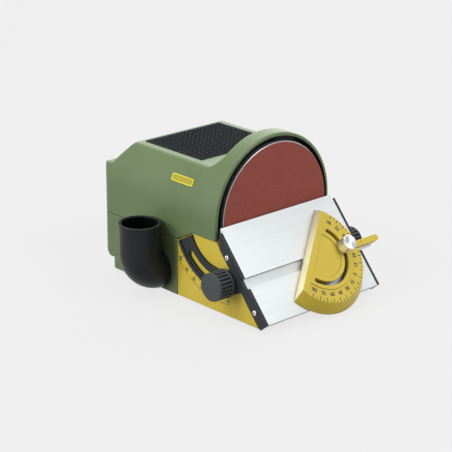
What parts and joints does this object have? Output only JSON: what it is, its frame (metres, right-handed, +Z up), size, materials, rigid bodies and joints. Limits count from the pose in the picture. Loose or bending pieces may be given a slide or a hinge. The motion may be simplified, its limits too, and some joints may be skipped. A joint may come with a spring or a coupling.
{
  "type": "benchtop disc sander",
  "caption": "Benchtop disc sander with a tunnel-shaped green housing, a tilting aluminium table on arc trunnions, a mitre gauge and a dust elbow.",
  "frame": {"origin": "on the bench, under the middle of the abrasive face: the disc's axis lies above it in the symmetry plane x = 0", "axes": "+Z up, -Y towards the operator out of the abrasive face, +X to the operator's right; the bench is z = 0 and the abrasive face is y = 0"},
  "size_m": [0.1993, 0.2389, 0.1494],
  "materials": {
    "green_upper": "satin, fine texture",
    "green_lower": "satin, fine texture",
    "yellow_paint": "satin paint",
    "mat_rubber": "matte, ribbed",
    "foot_rubber": "matte",
    "black_plastic": "satin",
    "black_sheet": "satin black paint",
    "dark_casting": "satin grey paint",
    "knob_plastic": "satin",
    "screw_steel": "bright",
    "steel": "turned",
    "motor_steel": "drawn",
    "cast_aluminium": "as cast",
    "ferrite": "ground",
    "brass": "stamped",
    "copper": "lacquered winding",
    "carbon": "matte",
    "board_green": "gloss",
    "disc_aluminium": "turned",
    "abrasive": "gritty matte",
    "table_aluminium": "satin anodised",
    "bar_aluminium": "satin",
    "knob_aluminium": "turned",
    "rocker_red": "gloss"
  },
  "bodies": {
    "base": {"lower_housing": "green_lower", "upper_housing": "green_upper", "front_base": "yellow_paint", "rubber_mat": "mat_rubber", "base_plate": "black_sheet", "rubber_feet": "foot_rubber", "housing_screws": "steel", "bulkhead": "black_sheet", "dust_chute": "black_plastic", "motor_can": "motor_steel", "front_bell": "cast_aluminium", "rear_bell": "cast_aluminium", "magnets": "ferrite", "front_bearing": "steel", "rear_bearing": "steel", "brush_holders": "brass", "carbon_brushes": "carbon", "motor_screws": "steel", "circuit_board": "board_green", "board_parts": "dark_casting", "cable_gland": "black_plastic", "switch_body": "black_plastic", "speed_pot": "dark_casting", "clamp_nuts": "steel"},
    "spindle": {"motor_shaft": "steel", "armature": "ferrite", "armature_coils": "copper", "commutator": "copper", "cooling_fan": "black_plastic", "disc_hub": "cast_aluminium", "disc_plate": "disc_aluminium", "sanding_sheet": "abrasive"},
    "table": {"table_top": "table_aluminium", "left_trunnion": "dark_casting", "right_trunnion": "dark_casting", "table_screws": "screw_steel"},
    "left_clamp": {"left_knob": "knob_plastic", "left_stud": "steel"},
    "right_clamp": {"right_knob": "knob_plastic", "right_stud": "steel"},
    "mitre_slider": {"mitre_bar": "bar_aluminium", "mitre_pointer": "yellow_paint", "mitre_pivot": "steel"},
    "mitre_head": {"mitre_protractor": "yellow_paint"},
    "mitre_clamp": {"mitre_knob": "knob_aluminium", "mitre_stud": "steel"},
    "elbow": {"dust_elbow": "black_plastic"},
    "rocker": {"power_rocker": "rocker_red"},
    "dial": {"speed_dial": "black_plastic"}
  },
  "joints": [
    {"name": "disc_spin", "type": "hinge", "parent": "base", "child": "spindle", "pos_m": [0, 0, 0.0794], "axis": [0, 1, 0], "continuous": true},
    {"name": "table_tilt", "type": "hinge", "parent": "base", "child": "table", "pos_m": [0, -0.0015, 0.079], "axis": [-1, 0, 0], "range_deg": [-1, 59]},
    {"name": "left_clamp_turn", "type": "hinge", "parent": "base", "child": "left_clamp", "pos_m": [-0.0719, -0.01205, 0.0333], "axis": [1, 0, 0], "range_deg": [-180, 180]},
    {"name": "right_clamp_turn", "type": "hinge", "parent": "base", "child": "right_clamp", "pos_m": [0.0719, -0.01205, 0.0333], "axis": [1, 0, 0], "range_deg": [-180, 180]},
    {"name": "mitre_slide", "type": "slide", "parent": "table", "child": "mitre_slider", "axis": [1, 0, 0], "range_m": [-0.085, 0.03]},
    {"name": "mitre_turn", "type": "hinge", "parent": "mitre_slider", "child": "mitre_head", "pos_m": [0.0125, -0.03631, 0.03957], "axis": [0, -0.7547, 0.6561], "range_deg": [-40, 130]},
    {"name": "mitre_clamp_turn", "type": "hinge", "parent": "mitre_slider", "child": "mitre_clamp", "pos_m": [0.0398, -0.03631, 0.03957], "axis": [0, -0.7547, 0.6561], "range_deg": [-180, 180]},
    {"name": "elbow_swivel", "type": "hinge", "parent": "base", "child": "elbow", "pos_m": [-0.0703, 0.079, 0.0213], "axis": [1, 0, 0], "range_deg": [-90, 90]},
    {"name": "rocker_press", "type": "hinge", "parent": "base", "child": "rocker", "pos_m": [0.0675, 0.076, 0.032], "axis": [0, 0, 1], "range_deg": [-14, 0]},
    {"name": "dial_turn", "type": "hinge", "parent": "base", "child": "dial", "pos_m": [0.0704, 0.108, 0.032], "axis": [1, 0, 0], "range_deg": [0, 270]}
  ]
}
